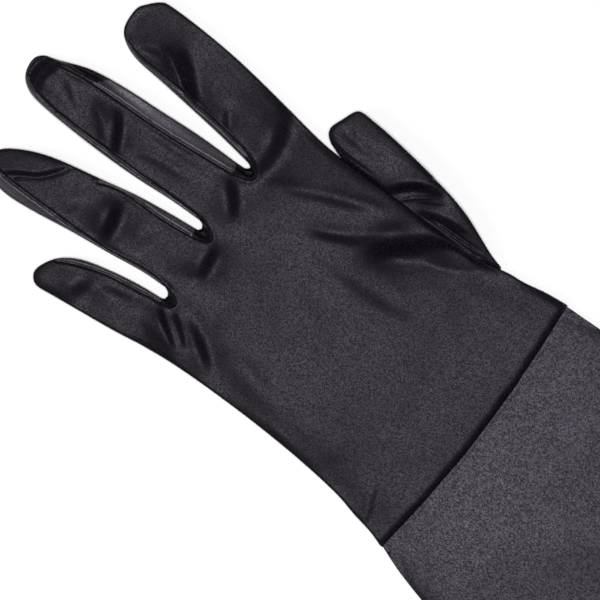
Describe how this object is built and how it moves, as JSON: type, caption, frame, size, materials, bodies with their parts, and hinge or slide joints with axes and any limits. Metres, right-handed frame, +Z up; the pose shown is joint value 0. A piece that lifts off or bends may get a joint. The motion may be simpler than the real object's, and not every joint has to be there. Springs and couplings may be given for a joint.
{
  "type": "opera glove",
  "caption": "Long satin glove for the left hand, with fourchettes between the fingers, a seam at the wrist and a flared sleeve that ends above the elbow.",
  "frame": {"origin": "middle of the flat glove's outline, on the surface that the palm lies on", "axes": "+Y towards the fingertips, +X towards the thumb's side, +Z up out of the back of the hand"},
  "size_m": [0.161, 0.5601, 0.01],
  "materials": {
    "hand_satin": "matte stretch satin",
    "sleeve_satin": "heavier satin",
    "elastic_tape": "covered elastic"
  },
  "bodies": {
    "hand": {"hand_back": "hand_satin", "hand_palm": "hand_satin", "hand_outer_side": "hand_satin", "hand_inner_side": "hand_satin", "wrist_hem": "hand_satin", "sleeve_seam_allowance": "sleeve_satin", "fork_little_ring": "hand_satin", "fork_ring_middle": "hand_satin", "fork_middle_index": "hand_satin", "thumb_root_back": "hand_satin", "thumb_root_palm": "hand_satin", "thumb_root_side": "hand_satin"},
    "little": {"little_back": "hand_satin", "little_palm": "hand_satin", "little_side": "hand_satin", "little_fourchette": "hand_satin"},
    "ring": {"ring_back": "hand_satin", "ring_palm": "hand_satin", "ring_fourchette_outer": "hand_satin", "ring_fourchette_inner": "hand_satin"},
    "middle": {"middle_back": "hand_satin", "middle_palm": "hand_satin", "middle_fourchette_outer": "hand_satin", "middle_fourchette_inner": "hand_satin"},
    "index": {"index_back": "hand_satin", "index_palm": "hand_satin", "index_fourchette": "hand_satin", "index_side": "hand_satin"},
    "thumb": {"thumb_back": "hand_satin", "thumb_palm": "hand_satin", "thumb_inner_side": "hand_satin", "thumb_outer_side": "hand_satin"},
    "forearm": {"forearm_upper_layer": "sleeve_satin", "forearm_under_layer": "sleeve_satin", "forearm_outer_side": "sleeve_satin", "forearm_inner_side": "sleeve_satin"},
    "arm": {"arm_upper_layer": "sleeve_satin", "arm_under_layer": "sleeve_satin", "arm_outer_side": "sleeve_satin", "arm_inner_side": "sleeve_satin", "top_hem": "sleeve_satin", "top_elastic": "elastic_tape"}
  },
  "joints": [
    {"name": "little_lift", "type": "hinge", "parent": "hand", "child": "little", "pos_m": [-0.03166, 0.19434, 0.009], "axis": [0.983, 0.1836, 0], "range_deg": [0, 90]},
    {"name": "ring_lift", "type": "hinge", "parent": "hand", "child": "ring", "pos_m": [-0.00834, 0.19945, 0.009], "axis": [0.9885, 0.151, 0], "range_deg": [0, 90]},
    {"name": "middle_lift", "type": "hinge", "parent": "hand", "child": "middle", "pos_m": [0.01743, 0.20235, 0.009], "axis": [0.9988, 0.0484, 0], "range_deg": [0, 90]},
    {"name": "index_lift", "type": "hinge", "parent": "hand", "child": "index", "pos_m": [0.04302, 0.2015, 0.009], "axis": [0.9974, -0.0719, 0], "range_deg": [0, 90]},
    {"name": "thumb_spread", "type": "hinge", "parent": "hand", "child": "thumb", "pos_m": [0.0658, 0.1471, 0.0035], "axis": [0, 0, -1], "range_deg": [0, 35]},
    {"name": "wrist_fold", "type": "hinge", "parent": "hand", "child": "forearm", "pos_m": [0.007, 0.0818, 0.0105], "axis": [-1, 0, 0], "range_deg": [0, 120]},
    {"name": "elbow_fold", "type": "hinge", "parent": "forearm", "child": "arm", "pos_m": [0.0005, -0.14, 0.0105], "axis": [-1, 0, 0], "range_deg": [0, 120]}
  ]
}
